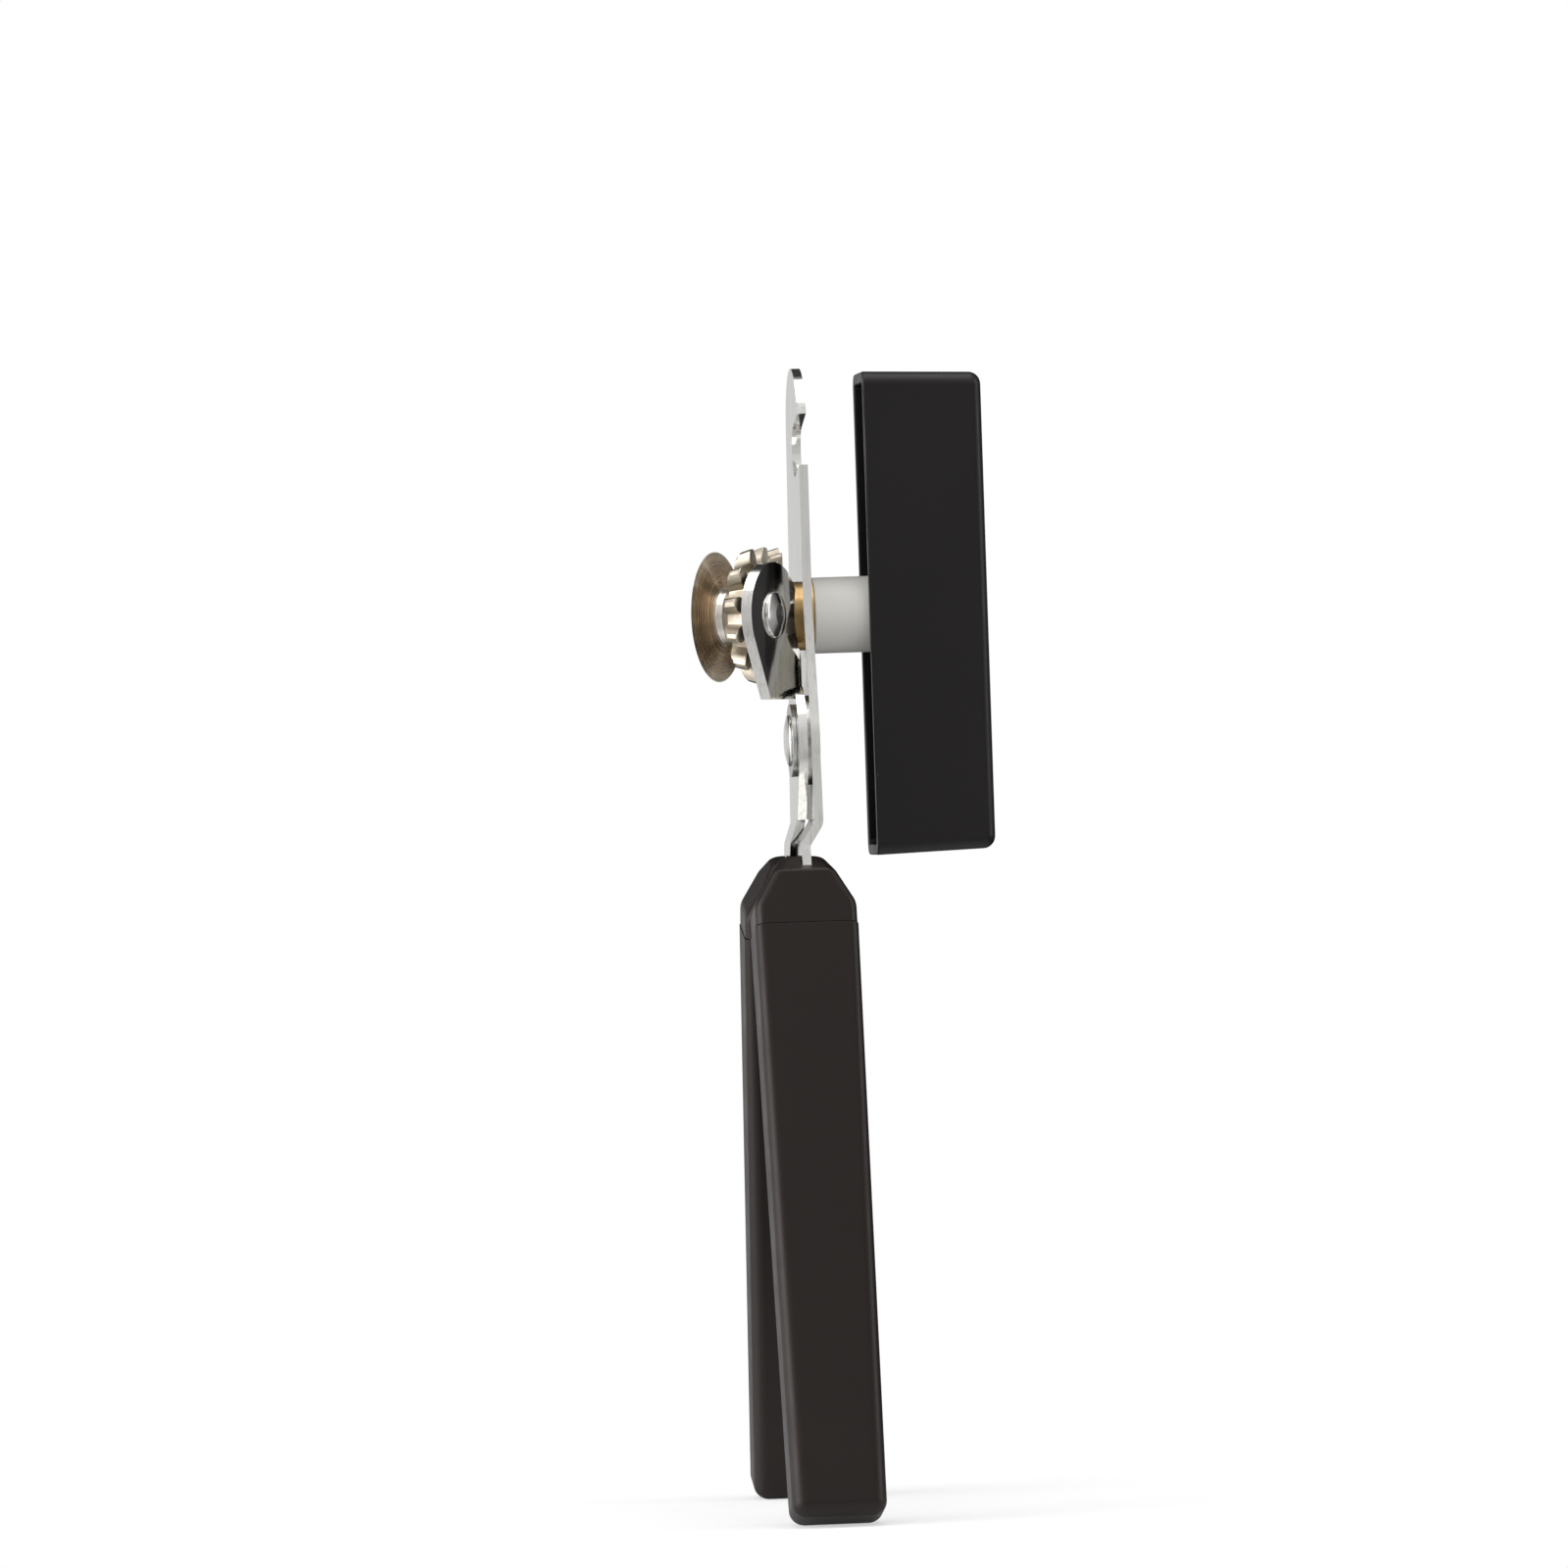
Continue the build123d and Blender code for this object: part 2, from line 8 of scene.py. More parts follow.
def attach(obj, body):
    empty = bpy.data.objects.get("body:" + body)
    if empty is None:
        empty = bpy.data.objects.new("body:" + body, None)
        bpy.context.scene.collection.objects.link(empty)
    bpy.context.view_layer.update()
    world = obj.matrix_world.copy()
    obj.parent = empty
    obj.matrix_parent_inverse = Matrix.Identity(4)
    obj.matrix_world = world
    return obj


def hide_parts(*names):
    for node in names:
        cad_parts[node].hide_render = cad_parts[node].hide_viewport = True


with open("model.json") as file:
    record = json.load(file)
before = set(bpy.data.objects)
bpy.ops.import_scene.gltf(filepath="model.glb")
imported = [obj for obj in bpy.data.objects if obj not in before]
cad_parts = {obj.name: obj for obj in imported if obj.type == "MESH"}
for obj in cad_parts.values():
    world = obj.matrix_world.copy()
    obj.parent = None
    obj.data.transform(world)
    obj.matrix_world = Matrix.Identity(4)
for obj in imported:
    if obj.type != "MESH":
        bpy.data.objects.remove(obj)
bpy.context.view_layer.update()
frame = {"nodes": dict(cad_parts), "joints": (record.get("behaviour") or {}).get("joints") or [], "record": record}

MM = 0.001
JOINTS = {joint["name"]: joint for joint in frame["joints"]}
PIVOT = Vector(JOINTS["lever_pivot"]["pos_m"])
SHAFT = Vector(JOINTS["key_turn"]["pos_m"])
ARBOR = Vector(JOINTS["cutter_spin"]["pos_m"])
ARBOR_AXIS = Vector(JOINTS["cutter_spin"]["axis"])

# Handles, in millimetres: each leans away from the other and tapers towards its end
HANDLE_X = -0.25
HANDLE_LEAN = 14.7
HANDLE_OFFSET = 3.0
HANDLE_START = 18.8
CAP_LENGTH = 13.0
GRIP_LENGTH = 106.5
GRIP_WIDTH = 18.5
GRIP_DEPTH = 13.0
GRIP_END_WIDTH = 16.7
GRIP_END_DEPTH = 12.0
GRIP_EDGE = 1.9
GRIP_END_EDGE = 2.8
GRIP_END_ROUND = 2.6
CAP_INSET = 0.15
CAP_TOP_WIDTH = 7.7
CAP_SHOULDER = 3.9
CAP_SHOULDER_ROUND = 4.0
CAP_TOP_ROUND = 1.3
CAP_BEVEL = 3.3
CAP_BEVEL_ROUND = 0.8
SEAM_EDGE = 0.14
LEAST_CORNER = 0.15
TANG_X = {-1: 0.4, 1: -0.4}
TANG_SLOT = (1.8, 10.6)
TANG_LENGTH = 54

# Turning key, measured from the plane of its rim
KEY_RIM_X = 14.5
KEY_DEPTH = 21.5
KEY_LENGTH = 86.8
KEY_WIDTH = 18.0
KEY_WALL = 2.0
KEY_DRAFT = radians(1.7)
KEY_CORNER = 2.4
KEY_INNER_CORNER = 1.0
KEY_ROUND = 2.1
KEY_LIP = 0.35
KEY_HUB_R = 6.9
HUB_START = 2.2

# Shaft pieces, measured along the shaft from the rivet's plane
SLEEVE = (4.8, 16.7)
SLEEVE_R = 6.85
SHAFT_R = 3.5

# Gears and cutting wheel, measured along the arbor from the plane of the cutting edge
TEETH = 12
MODULE = 1.75
ADDENDUM = 0.87
DEDENDUM = 1.25
PRESSURE = radians(20)
BACKLASH = 0.22
PHASE = radians(4.5)
CROSSING = radians(28.5)
GEAR_WIDTH = 3.4
GEAR_FRONT = 5.5
TOOTH_EDGE = 0.16
TIP_ROUND = 0.8
ROOT_FILLET = 0.35
COLLAR = 1.5
COLLAR_GAP = 0.06
PITCH_R = MODULE * TEETH / 2
GEAR_APEX = PITCH_R / tan(CROSSING / 2)
BLANK_SMALL_R = PITCH_R + MODULE * 0.5
BLANK_LARGE_R = PITCH_R + MODULE * 1.3
DISC_R = 11.6
DISC_FLANK = 1.74
HUB_R = 4.7
BUSH_R = 3.4
ARBOR_R = 2.5
ARBOR_HEAD_R = 4.2
ARBOR_HEAD = 1.2
SEAT_BACK = 11.15
FEED_R = 7.2
FEED_WIDTH = 3.0
FEED_TEETH = 24
FEED_NOTCH = 0.75
FEED_HUB_R = 4.6
FEED_BORE_R = 3.4
FEED_GAP = 0.85

# Where the shaft's wheels start, so that the gears mesh and the disc clears the feed wheel
DISC_X = (ARBOR.x - SHAFT.x) / MM
DRIVE_X = DISC_X + (GEAR_FRONT + GEAR_WIDTH / 2) * cos(CROSSING) + PITCH_R * sin(CROSSING)
DRIVE_LEFT = DRIVE_X - GEAR_WIDTH / 2
FEED_LEFT = DISC_X + DISC_R * sin(CROSSING) + FEED_GAP

# Levers and rivet, measured along the rivet's axis
RIVET_R = 3.5
RIVET_HEAD_R = 5.5
RIVET_HEAD = 0.8
KEY_PLATE = (2.1, 3.7)
CUTTER_PLATE = (0.0, 1.6)
PLATE_EDGE = 0.28
PEEN_SPREAD = 1.1
PEEN_HEIGHT = 0.9
WASHER = 0.7

# The middle plane of the handles, at the height from which the design is measured
DATUM = PIVOT - Vector((0, 0, 3.2)) * MM


# ---------------------------------------------------------------- materials


def new_material(name):
    """A node material, with its tree and its one shader."""
    material = bpy.data.materials.new(name)
    material.use_nodes = True
    tree = material.node_tree
    shader = tree.nodes["Principled BSDF"]
    return material, tree, shader


def add(tree, kind, **values):
    """A node with its properties and its sockets' default values set."""
    node = tree.nodes.new(kind)
    for key, value in values.items():
        if key in node.inputs:
            node.inputs[key].default_value = value
        else:
            setattr(node, key, value)
    return node


def object_space(tree, scale=(1, 1, 1)):
    """Object coordinates in metres, stretched by scale."""
    place = add(tree, "ShaderNodeTexCoord")
    mapping = add(tree, "ShaderNodeMapping", Scale=scale)
    tree.links.new(place.outputs["Object"], mapping.inputs["Vector"])
    return mapping.outputs["Vector"]


def noise(tree, vector, scale, detail=4.0, roughness=0.55):
    node = add(tree, "ShaderNodeTexNoise", Scale=scale, Detail=detail, Roughness=roughness)
    tree.links.new(vector, node.inputs["Vector"])
    return node.outputs["Fac"]


def remap(tree, value, low, high, to_low, to_high):
    node = add(tree, "ShaderNodeMapRange")
    for socket, number in zip(node.inputs[1:5], (low, high, to_low, to_high)):
        socket.default_value = number
    tree.links.new(value, node.inputs["Value"])
    return node.outputs["Result"]


def math(tree, operation, *values):
    node = add(tree, "ShaderNodeMath", operation=operation)
    for socket, value in zip(node.inputs, values):
        if isinstance(value, (int, float)):
            socket.default_value = value
        else:
            tree.links.new(value, socket)
    return node.outputs["Value"]


def mix_values(tree, factor, first, second):
    node = add(tree, "ShaderNodeMix")
    for socket, value in zip(node.inputs[:1] + node.inputs[2:4], (factor, first, second)):
        tree.links.new(value, socket)
    return node.outputs[0]


def colour_ramp(tree, factor, *stops):
    """A colour along factor, from (position, colour) stops."""
    ramp = add(tree, "ShaderNodeValToRGB")
    elements = ramp.color_ramp.elements
    while len(elements) < len(stops):
        elements.new(0.5)
    for element, (position, colour) in zip(elements, stops):
        element.position = position
        element.color = (*colour, 1)
    tree.links.new(factor, ramp.inputs["Fac"])
    return ramp.outputs["Color"]


def mix_colours(tree, factor, first, second):
    """The linked colour first, turning to the fixed colour second as the linked factor rises."""
    node = add(tree, "ShaderNodeMix", data_type="RGBA")
    tree.links.new(factor, node.inputs[0])
    tree.links.new(first, node.inputs[6])
    node.inputs[7].default_value = (*second, 1)
    return node.outputs[2]


def length_of(tree, vector):
    node = add(tree, "ShaderNodeVectorMath", operation="LENGTH")
    tree.links.new(vector, node.inputs[0])
    return node.outputs["Value"]


def scaled(tree, colour, factor):
    node = add(tree, "ShaderNodeVectorMath", operation="SCALE")
    tree.links.new(colour, node.inputs[0])
    tree.links.new(factor, node.inputs["Scale"])
    return node.outputs["Vector"]


def bump(tree, shader, height, strength, distance, under=None):
    node = add(tree, "ShaderNodeBump", Strength=strength, Distance=distance)
    tree.links.new(height, node.inputs["Height"])
    if under:
        tree.links.new(under.outputs["Normal"], node.inputs["Normal"])
    tree.links.new(node.outputs["Normal"], shader.inputs["Normal"])
    return node


def red_of(tree, colour):
    split = add(tree, "ShaderNodeSeparateColor")
    tree.links.new(colour, split.inputs["Color"])
    return split.outputs["Red"]


def specks(tree, vector, scale, share, size):
    """1 on a few tiny scattered specks and 0 elsewhere."""
    cells = add(tree, "ShaderNodeTexVoronoi", Scale=scale)
    tree.links.new(vector, cells.inputs["Vector"])
    chosen = math(tree, "LESS_THAN", red_of(tree, cells.outputs["Color"]), share)
    near = math(tree, "LESS_THAN", cells.outputs["Distance"], size)
    return math(tree, "MULTIPLY", chosen, near)


def plastic(name, colour, second, dust, rough, tint=(1, 1, 1)):
    """Satin moulded plastic: fine grain, faint cloudiness, handling marks and a little dust."""
    material, tree, shader = new_material(name)
    vector = object_space(tree)
    tone = remap(tree, noise(tree, vector, 45.0, 5.0), 0.35, 0.65, 0.0, 1.0)
    base = colour_ramp(tree, tone, (0, colour), (1, second))
    dusty = specks(tree, vector, 330.0, 0.035, 0.055)
    tree.links.new(mix_colours(tree, dusty, base, dust), shader.inputs["Base Color"])
    smudge = noise(tree, vector, 140.0, 6.0, 0.6)
    gloss = remap(tree, smudge, 0.3, 0.7, rough - 0.04, rough + 0.06)
    tree.links.new(gloss, shader.inputs["Roughness"])
    swell = bump(tree, shader, noise(tree, vector, 160.0, 2.0), 0.05, 0.0002)
    bump(tree, shader, noise(tree, vector, 3600.0, 2.0), 0.1, 0.00004, swell)
    shader.inputs["Specular IOR Level"].default_value = 0.38
    shader.inputs["Specular Tint"].default_value = (*tint, 1)
    return material


def metal(name, colour, second, rough, stretch=(1, 1, 1), streak=900.0, relief=0.1, wave=0.0,
          dark=1.0):
    """Worked metal: streaks in tone, roughness and relief, and a slow swell of the surface."""
    material, tree, shader = new_material(name)
    streaks = noise(tree, object_space(tree, stretch), streak, 3.0)
    vector = object_space(tree)
    tone = remap(tree, noise(tree, vector, 110.0, 5.0), 0.3, 0.7, 0.0, 1.0)
    base = colour_ramp(tree, tone, (0, colour), (1, second))
    base = scaled(tree, base, remap(tree, streaks, 0.36, 0.5, dark, 1.0))
    tree.links.new(base, shader.inputs["Base Color"])
    gloss = remap(tree, streaks, 0.3, 0.7, rough * 0.7, rough * 1.4)
    tree.links.new(gloss, shader.inputs["Roughness"])
    swell = bump(tree, shader, noise(tree, vector, 130.0, 1.0), wave, 0.0004)
    bump(tree, shader, streaks, relief, 0.00002, swell)
    shader.inputs["Metallic"].default_value = 1.0
    return material


def turned_metal(name, stops, inner, outer, rough, relief, rings):
    """Metal ground about local Z: rings in tone, roughness and relief, glossy across the rings."""
    material, tree, shader = new_material(name)
    radius = length_of(tree, object_space(tree, (1, 1, 0)))
    groove = add(tree, "ShaderNodeTexNoise", noise_dimensions="1D", Scale=rings, Detail=3.0)
    tree.links.new(radius, groove.inputs["W"])
    base = colour_ramp(tree, remap(tree, radius, inner, outer, 0.0, 1.0), *stops)
    base = scaled(tree, base, remap(tree, groove.outputs["Fac"], 0.32, 0.68, 0.68, 1.25))
    tree.links.new(base, shader.inputs["Base Color"])
    gloss = remap(tree, groove.outputs["Fac"], 0.3, 0.7, rough * 0.8, rough * 1.3)
    tree.links.new(gloss, shader.inputs["Roughness"])
    bump(tree, shader, groove.outputs["Fac"], relief, 0.00003)
    around = add(tree, "ShaderNodeTangent", direction_type="RADIAL", axis="Z")
    tree.links.new(around.outputs["Tangent"], shader.inputs["Tangent"])
    shader.inputs["Anisotropic"].default_value = 0.85
    shader.inputs["Anisotropic Rotation"].default_value = 0.25
    shader.inputs["Metallic"].default_value = 1.0
    return material


MATERIALS = {
    "grip_plastic": plastic("grip charcoal", (0.0050, 0.0030, 0.0024), (0.0068, 0.0044, 0.0036),
                            (0.030, 0.026, 0.023), 0.42, (1, 0.90, 0.86)),
    "cap_plastic": plastic("cap charcoal", (0.0054, 0.0033, 0.0026), (0.0072, 0.0047, 0.0038),
                           (0.035, 0.030, 0.026), 0.40, (1, 0.90, 0.86)),
    "key_plastic": plastic("key black", (0.0044, 0.0036, 0.0040), (0.0058, 0.0048, 0.0053),
                           (0.040, 0.037, 0.036), 0.40, (1, 0.95, 0.98)),
    "sleeve_nylon": plastic("nylon", (0.92, 0.91, 0.85), (0.96, 0.95, 0.91),
                            (0.5, 0.49, 0.45), 0.4),
    "lever_chrome": metal("lever chrome", (0.80, 0.79, 0.76), (0.87, 0.86, 0.83), 0.09,
                          stretch=(1, 1, 0.04), streak=1500.0, relief=0.05, wave=0.22,
                          dark=0.87),
    "rivet_chrome": metal("rivet chrome", (0.80, 0.79, 0.76), (0.87, 0.86, 0.83), 0.12),
    "washer_steel": metal("washer steel", (0.50, 0.50, 0.48), (0.60, 0.60, 0.58), 0.3),
    "bearing_bronze": metal("bronze", (0.52, 0.33, 0.14), (0.60, 0.42, 0.20), 0.35),
    "shaft_steel": metal("shaft steel", (0.50, 0.50, 0.48), (0.60, 0.60, 0.58), 0.25),
    "gear_nickel": metal("gear nickel", (0.43, 0.38, 0.305), (0.53, 0.475, 0.395), 0.36,
                         streak=420.0, relief=0.6, wave=0.3, dark=0.8),
    "feed_steel": metal("feed steel", (0.50, 0.47, 0.43), (0.60, 0.57, 0.53), 0.3),
    "blade_steel": turned_metal(
        "blade steel",
        ((0.0, (0.96, 0.92, 0.86)), (0.03, (0.88, 0.81, 0.71)), (0.10, (0.56, 0.43, 0.30)),
         (0.3, (0.72, 0.555, 0.385)), (0.5, (0.50, 0.375, 0.26)), (0.86, (0.52, 0.42, 0.31)),
         (0.965, (0.58, 0.49, 0.38)), (1.0, (0.86, 0.82, 0.76))),
        inner=0.0048, outer=0.0116, rough=0.26, relief=0.5, rings=3600.0),
}

for subpart in frame["record"]["subparts"]:
    node = frame["nodes"][subpart["node"]]
    node.data.materials.clear()
    node.data.materials.append(MATERIALS[subpart["material_slot"]])


# ---------------------------------------------------------------- mesh helpers


def axes(origin, along, across):
    """The place of a piece whose local Z is along and whose local X is across."""
    turn = Matrix((across, along.cross(across), along)).transposed().to_4x4()
    return Matrix.Translation(origin) @ turn


PIVOT_PLACE = axes(PIVOT, Vector((1, 0, 0)), Vector((0, 1, 0)))
SHAFT_PLACE = axes(SHAFT, Vector((1, 0, 0)), Vector((0, 1, 0)))
ARBOR_PLACE = axes(ARBOR, ARBOR_AXIS, Vector((-ARBOR_AXIS.y, ARBOR_AXIS.x, 0)))


def new_object(name, data):
    item = bpy.data.objects.new(name, data)
    bpy.context.scene.collection.objects.link(item)
    return item


def rounded_rectangle(width, depth, radius, steps=8):
    """Points round a rectangle about the origin whose corners are arcs."""
    points = []
    for quarter, (x, y) in enumerate(((1, 1), (-1, 1), (-1, -1), (1, -1))):
        for step in range(steps + 1):
            angle = (quarter + step / steps) * pi / 2
            points.append((x * (width / 2 - radius) + radius * cos(angle),
                           y * (depth / 2 - radius) + radius * sin(angle)))
    return points


def rounded_path(points, radii, steps=5):
    """A polyline whose corners become arcs; a corner of radius 0 stays sharp."""
    path = []
    for i, (corner, radius) in enumerate(zip(points, radii)):
        here = Vector(corner)
        if not radius:
            path.append(here)
            continue
        before = (Vector(points[i - 1]) - here).normalized()
        after = (Vector(points[(i + 1) % len(points)]) - here).normalized()
        half = before.angle(after) / 2
        centre = here + (before + after).normalized() * (radius / sin(half))
        first = here + before * radius / tan(half) - centre
        last = here + after * radius / tan(half) - centre
        start = atan2(first.y, first.x)
        sweep = (atan2(last.y, last.x) - start + pi) % (2 * pi) - pi
        for step in range(steps + 1):
            angle = start + sweep * step / steps
            path.append(centre + Vector((cos(angle), sin(angle))) * radius)
    return path


def along_path(path, height):
    """The first coordinate of a rising path of (value, height) points at one height."""
    for low, high in zip(path, path[1:]):
        if height <= high[1] + 1e-6 and high[1] > low[1]:
            part = max(0.0, min(1.0, (height - low[1]) / (high[1] - low[1])))
            return low[0] + (high[0] - low[0]) * part
    return path[-1][0]


def skin(rings):
    """A closed shape through rings of equal length, given as (points, height)."""
    shape = bmesh.new()
    rows = [[shape.verts.new(Vector((x, y, z)) * MM) for x, y in ring] for ring, z in rings]
    for low, high in zip(rows, rows[1:]):
        for i in range(len(low)):
            j = (i + 1) % len(low)
            shape.faces.new((low[i], low[j], high[j], high[i]))
    shape.faces.new(rows[0])
    shape.faces.new(rows[-1])
    bmesh.ops.recalc_face_normals(shape, faces=shape.faces)
    return shape


def lathe(profile, segments=128):
    """A solid of revolution about Z from a closed loop of (radius, along) points."""
    shape = bmesh.new()
    rows = []
    for radius, along in profile:
        if radius < 1e-6:
            rows.append([shape.verts.new((0, 0, along * MM))] * segments)
            continue
        angles = [2 * pi * i / segments for i in range(segments)]
        rows.append([
            shape.verts.new(Vector((radius * cos(a), radius * sin(a), along)) * MM) for a in angles
        ])
    for low, high in zip(rows, rows[1:] + rows[:1]):
        for i in range(segments):
            j = (i + 1) % segments
            corners = list(dict.fromkeys((low[i], low[j], high[j], high[i])))
            if len(corners) > 2:
                shape.faces.new(corners)
    bmesh.ops.recalc_face_normals(shape, faces=shape.faces)
    return shape


def joined(first, *others):
    """One shape that holds all the given ones."""
    for other in others:
        scratch = bpy.data.meshes.new("scratch")
        other.to_mesh(scratch)
        other.free()
        first.from_mesh(scratch)
        bpy.data.meshes.remove(scratch)
    return first


def block(low, high):
    """A box between two corners, in millimetres."""
    shape = bmesh.new()
    size = [b - a for a, b in zip(low, high)]
    middle = [(a + b) / 2 for a, b in zip(low, high)]
    place = Matrix.Translation(Vector(middle) * MM) @ Matrix.Diagonal((*(Vector(size) * MM), 1))
    bmesh.ops.create_cube(shape, size=1, matrix=place)
    return shape


def carved(shape, *tools):
    """The shape with the tools cut away."""
    def loose(name, form):
        mesh = bpy.data.meshes.new(name)
        form.to_mesh(mesh)
        form.free()
        return new_object(name, mesh)

    item = loose("carved", shape)
    helpers = [loose("tool", tool) for tool in tools]
    for helper in helpers:
        cut = item.modifiers.new("cut", "BOOLEAN")
        cut.operation = "DIFFERENCE"
        cut.solver = "EXACT"
        cut.object = helper
    graph = bpy.context.evaluated_depsgraph_get()
    result = bmesh.new()
    result.from_mesh(item.evaluated_get(graph).to_mesh())
    for extra in [item, *helpers]:
        mesh = extra.data
        bpy.data.objects.remove(extra)
        bpy.data.meshes.remove(mesh)
    return result


def piece(name, shape, place, look, body, *nodes, crease=35, edge=0.0):
    """A finished piece that stands for CAD nodes and rides on their body."""
    mesh = bpy.data.meshes.new(name)
    shape.to_mesh(mesh)
    shape.free()
    mesh.shade_smooth()
    mesh.materials.append(MATERIALS[look])
    item = new_object(name, mesh)
    item.matrix_world = place
    if edge:
        soften = item.modifiers.new("soft edges", "BEVEL")
        soften.width = edge * MM
        soften.segments = 3
        soften.limit_method = "ANGLE"
        soften.angle_limit = radians(crease)
    else:
        mesh.set_sharp_from_angle(angle=radians(crease))
    even = item.modifiers.new("even normals", "WEIGHTED_NORMAL")
    even.weight = 100
    even.keep_sharp = True
    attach(item, body)
    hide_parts(*nodes)
    return item


# ---------------------------------------------------------------- handles


def handle_place(side, drop):
    """The frame of a handle, drop millimetres down its axis."""
    foot = Matrix.Translation(DATUM + Vector((HANDLE_X, side * HANDLE_OFFSET, 0)) * MM)
    lean = Matrix.Rotation(radians(side * HANDLE_LEAN), 4, "X")
    return foot @ lean @ Matrix.Translation((0, 0, -drop * MM))


def tang_slot(side, low, high):
    """The room for a lever's tang inside a handle, between two heights along its axis."""
    middle = TANG_X[side] - HANDLE_X
    half_x, half_y = TANG_SLOT[0] / 2, TANG_SLOT[1] / 2
    return block((middle - half_x, -half_y, low), (middle + half_x, half_y, high))


def grip_ring(height, inset):
    """One cross-section of a grip: it tapers, and its edges get rounder downwards."""
    part = -height / GRIP_LENGTH
    width = GRIP_WIDTH + (GRIP_END_WIDTH - GRIP_WIDTH) * part
    depth = GRIP_DEPTH + (GRIP_END_DEPTH - GRIP_DEPTH) * part
    radius = GRIP_EDGE + (GRIP_END_EDGE - GRIP_EDGE) * part
    corner = max(radius - inset, LEAST_CORNER)
    return rounded_rectangle(width - 2 * inset, depth - 2 * inset, corner), height


def make_grip(side, name, body, node):
    rings = []
    for step in range(11):
        turn = pi / 2 * (1 - step / 10)
        inset = GRIP_END_ROUND * (1 - cos(turn))
        rings.append(grip_ring(-GRIP_LENGTH + GRIP_END_ROUND * (1 - sin(turn)), inset))
    spans = 12
    for step in range(1, spans):
        rings.append(grip_ring((-GRIP_LENGTH + GRIP_END_ROUND) * (1 - step / spans), 0.0))
    for step in range(5):
        turn = pi / 2 * step / 4
        rings.append(grip_ring(-SEAM_EDGE * (1 - sin(turn)), SEAM_EDGE * (1 - cos(turn))))
    shape = carved(skin(rings), tang_slot(side, -TANG_LENGTH, 1))
    place = handle_place(side, HANDLE_START + CAP_LENGTH)
    piece(name, shape, place, "grip_plastic", body, node)


def make_cap(side, name, body, node):
    half_width = GRIP_WIDTH / 2 - CAP_INSET
    half_depth = GRIP_DEPTH / 2 - CAP_INSET
    flat = half_depth - CAP_BEVEL
    front = rounded_path(
        [(half_width - SEAM_EDGE, -CAP_LENGTH), (half_width, -CAP_LENGTH + SEAM_EDGE),
         (half_width, -CAP_LENGTH + CAP_SHOULDER), (CAP_TOP_WIDTH / 2, 0), (0, 0)],
        [0, 0, CAP_SHOULDER_ROUND, CAP_TOP_ROUND, 0], 8)[:-1]
    flank = rounded_path(
        [(half_depth - SEAM_EDGE, -CAP_LENGTH), (half_depth, -CAP_LENGTH + SEAM_EDGE),
         (half_depth, -CAP_BEVEL), (flat, 0), (0, 0)],
        [0, 0, CAP_BEVEL_ROUND, 0.4, 0], 6)[:-1]
    heights = sorted({round(point[1], 4) for point in [*front, *flank]})
    rings = []
    for height in heights:
        wide, deep = along_path(front, height), along_path(flank, height)
        radius = min(GRIP_EDGE, wide - 0.1, deep - 0.1)
        rings.append((rounded_rectangle(2 * wide, 2 * deep, radius), height))
    shape = carved(skin(rings), tang_slot(side, -CAP_LENGTH - 1, 1))
    piece(name, shape, handle_place(side, HANDLE_START), "cap_plastic", body, node, crease=32)


def make_lever(name, body, node):
    """The lever's own shape with its sheared edges slightly rounded."""
    shape = bmesh.new()
    shape.from_mesh(frame["nodes"][node].data)
    bmesh.ops.remove_doubles(shape, verts=shape.verts, dist=1e-6)
    bmesh.ops.dissolve_limit(shape, angle_limit=radians(1), verts=shape.verts, edges=shape.edges)
    piece(name, shape, Matrix(), "lever_chrome", body, node, crease=40, edge=PLATE_EDGE)


# ---------------------------------------------------------------- turning key


def key_ring(height, wall, corner, inset=0.0):
    """One cross-section of the key, wall thick inside its outer surface."""
    draft = 2 * height * tan(KEY_DRAFT)
    width = KEY_WIDTH - draft - 2 * (wall + inset)
    length = KEY_LENGTH - draft - 2 * (wall + inset)
    return rounded_rectangle(width, length, max(corner - inset, LEAST_CORNER)), height


def make_key():
    """The hollow key: up the inner walls, over the lip and down the outside to the back."""
    floor = KEY_DEPTH - KEY_WALL
    lip = KEY_LIP
    inner = KEY_INNER_CORNER
    rings = [key_ring(floor, KEY_WALL, inner, 0.6), key_ring(floor - 0.18, KEY_WALL, inner, 0.18),
             key_ring(floor - 0.6, KEY_WALL, inner), key_ring(lip, KEY_WALL, inner)]
    for step in range(1, 5):
        turn = pi / 2 * step / 4
        rings.append(key_ring(lip * (1 - sin(turn)), KEY_WALL, inner, -lip * (1 - cos(turn))))
    for step in range(5):
        turn = pi / 2 * (1 - step / 4)
        rings.append(key_ring(lip * (1 - sin(turn)), 0.0, KEY_CORNER, lip * (1 - cos(turn))))
    for step in range(1, 6):
        rings.append(key_ring(lip + (KEY_DEPTH - KEY_ROUND - lip) * step / 6, 0.0, KEY_CORNER))
    for step in range(11):
        turn = pi / 2 * step / 10
        height = KEY_DEPTH - KEY_ROUND * (1 - sin(turn))
        rings.append(key_ring(height, 0.0, KEY_CORNER, KEY_ROUND * (1 - cos(turn))))
    hub = lathe(rounded_path([(0, HUB_START), (KEY_HUB_R, HUB_START), (KEY_HUB_R, floor + 0.5),
                              (0, floor + 0.5)], [0, 0.3, 0, 0]))
    place = SHAFT_PLACE @ Matrix.Translation((0, 0, KEY_RIM_X * MM))
    piece("key_moulding", joined(skin(rings), hub), place, "key_plastic", "key_drive",
          "turning_key")


# ---------------------------------------------------------------- round pieces


